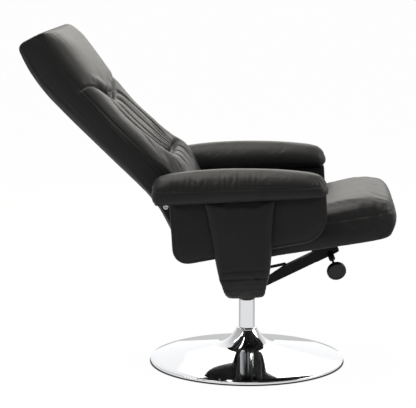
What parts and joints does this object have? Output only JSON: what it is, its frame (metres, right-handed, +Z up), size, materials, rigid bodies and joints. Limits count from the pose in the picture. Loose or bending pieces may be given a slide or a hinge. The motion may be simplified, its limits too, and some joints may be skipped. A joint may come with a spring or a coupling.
{
  "type": "swivel recliner",
  "caption": "Padded swivel recliner: back tilts as the seat glides on a sloping rail, arms on a bent U-shaped frame, clamp knob, round chrome pedestal.",
  "frame": {"origin": "point on the floor under the column, on the swivel axis", "axes": "+Z up along the swivel axis; the sitter faces -Y and -X is the sitter's right; modelled with the back fully reclined"},
  "size_m": [0.7266, 1.0743, 0.9949],
  "materials": {
    "black_leather": "black grained leather-look cover, semi-matt",
    "chrome": "mirror-polished chrome plate",
    "bare_steel": "bright zinc-plated steel",
    "black_steel": "black powder coat",
    "ballast_iron": "plain casting, hidden",
    "plywood": "plain plywood, hidden",
    "foam": "cream foam, hidden",
    "nylon": "black moulded nylon",
    "rubber": "black rubber sheet"
  },
  "bodies": {
    "base": {"floor_pad": "rubber", "base_weight": "ballast_iron", "base_dish": "chrome", "column_flange": "bare_steel", "flange_bolt_1": "bare_steel", "flange_bolt_2": "bare_steel", "flange_bolt_3": "bare_steel", "flange_bolt_4": "bare_steel", "column_tube": "chrome", "column_collar": "chrome", "lower_bush": "nylon", "upper_bush": "nylon"},
    "carrier": {"spindle_clip": "bare_steel", "swivel_spindle": "bare_steel", "swivel_housing": "black_steel", "swivel_plate": "black_steel", "clamp_plate": "black_steel", "frame_bolt_front_left": "bare_steel", "frame_bolt_front_right": "bare_steel", "frame_bolt_rear_left": "bare_steel", "frame_bolt_rear_right": "bare_steel", "leg_left": "black_leather", "leg_right": "black_leather", "arm_board_left": "plywood", "arm_board_right": "plywood", "arm_pad_left": "black_leather", "arm_pad_right": "black_leather", "side_panel_left": "black_leather", "side_panel_right": "black_leather", "pivot_bracket_left": "black_steel", "pivot_bracket_right": "black_steel", "slide_rail": "black_steel", "rail_brace": "black_steel"},
    "back": {"back_shell": "black_leather", "back_board": "plywood", "back_foam": "foam", "back_cushion": "black_leather", "head_pillow": "black_leather", "pivot_plate_left": "black_steel", "pivot_plate_right": "black_steel", "pivot_washer_left": "nylon", "pivot_washer_right": "nylon", "pivot_bolt_left": "bare_steel", "pivot_bolt_right": "bare_steel", "back_lug_left": "black_steel", "back_lug_right": "black_steel", "link_rod": "bare_steel"},
    "seat": {"seat_cushion": "black_leather", "seat_board": "plywood", "seat_foam": "foam", "seat_hook_left": "black_steel", "seat_hook_right": "black_steel", "slide_shoe": "black_steel", "keeper_pin": "bare_steel"},
    "knob": {"knob": "nylon", "knob_screw": "bare_steel"}
  },
  "joints": [
    {"name": "swivel", "type": "hinge", "parent": "base", "child": "carrier", "pos_m": [0, 0, 0.19], "axis": [0, 0, 1], "continuous": true},
    {"name": "recline", "type": "hinge", "parent": "carrier", "child": "back", "pos_m": [0, 0.22, 0.51], "axis": [1, 0, 0], "range_deg": [0, 26]},
    {"name": "seat_glide", "type": "slide", "parent": "carrier", "child": "seat", "axis": [0, -0.8934, 0.4493], "range_m": [-0.0608, 0]},
    {"name": "knob_turn", "type": "hinge", "parent": "seat", "child": "knob", "pos_m": [-0.0156, -0.24722, 0.33372], "axis": [-0.9063, -0.1899, -0.3776], "range_deg": [0, 360]}
  ],
  "couplings": [
    {"joint": "seat_glide", "follows": "recline", "m_per_rad": -0.13385}
  ]
}
